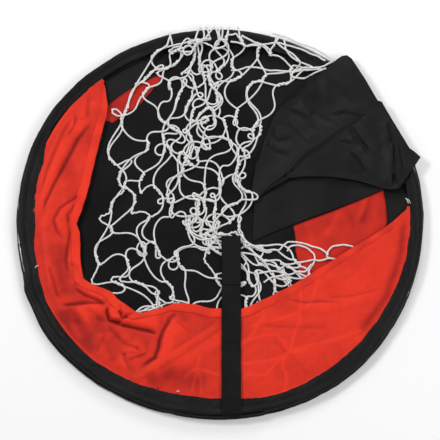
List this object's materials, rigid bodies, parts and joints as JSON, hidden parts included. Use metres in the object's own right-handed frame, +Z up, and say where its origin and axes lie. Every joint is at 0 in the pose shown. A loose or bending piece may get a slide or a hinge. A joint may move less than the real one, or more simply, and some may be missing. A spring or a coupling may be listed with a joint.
{
  "type": "golf chipping net",
  "caption": "Folding practice net with wire hoops in black sleeves, a red target face, a white knotted net pocket and a closing strap, folded flat.",
  "frame": {"origin": "centre of the stack of hoops, on the surface that it lies on", "axes": "+Z up out of the folded stack; the hoops are sewn together at the -Y edge, where the strap is sewn on, and the net's head is at the +Y edge"},
  "size_m": [0.5079, 0.5089, 0.0169],
  "materials": {
    "black_polyester": "matte woven",
    "red_polyester": "satin woven, slightly see-through",
    "white_cord": "braided",
    "black_webbing": "ribbed webbing",
    "hook_and_loop": "hook and loop pile",
    "spring_steel": "drawn wire",
    "ferrule_steel": "crimped, zinc plated"
  },
  "bodies": {
    "base": {"base_hoop_wire": "spring_steel", "base_hoop_ferrule": "ferrule_steel", "base_hoop_sleeve": "black_polyester", "base_border_panel": "black_polyester", "base_red_panel": "red_polyester", "floor_apron": "black_polyester", "base_hinge_tape": "black_webbing", "left_gusset": "black_polyester", "right_gusset": "black_polyester"},
    "target": {"target_hoop_wire": "spring_steel", "target_hoop_ferrule": "ferrule_steel", "target_hoop_sleeve": "black_polyester", "target_hinge_tape": "black_webbing", "target_face_panel": "red_polyester", "target_opening_hem": "red_polyester", "rear_flap": "black_polyester", "rear_flap_hem": "black_polyester", "net": "white_cord", "net_rim_loops": "white_cord", "strap_anchor": "black_webbing"},
    "strap": {"closure_strap": "black_webbing", "strap_hook_patch": "hook_and_loop", "strap_loop_patch": "hook_and_loop"}
  },
  "joints": [
    {"name": "target_hinge", "type": "hinge", "parent": "base", "child": "target", "pos_m": [0, -0.25485, 0.00695], "axis": [1, 0, 0], "range_deg": [0, 55], "deforming": ["net", "left_gusset", "right_gusset"]},
    {"name": "strap_hinge", "type": "hinge", "parent": "target", "child": "strap", "pos_m": [0.014, -0.23585, 0.0158], "axis": [1, 0, 0], "range_deg": [0, 120]}
  ]
}
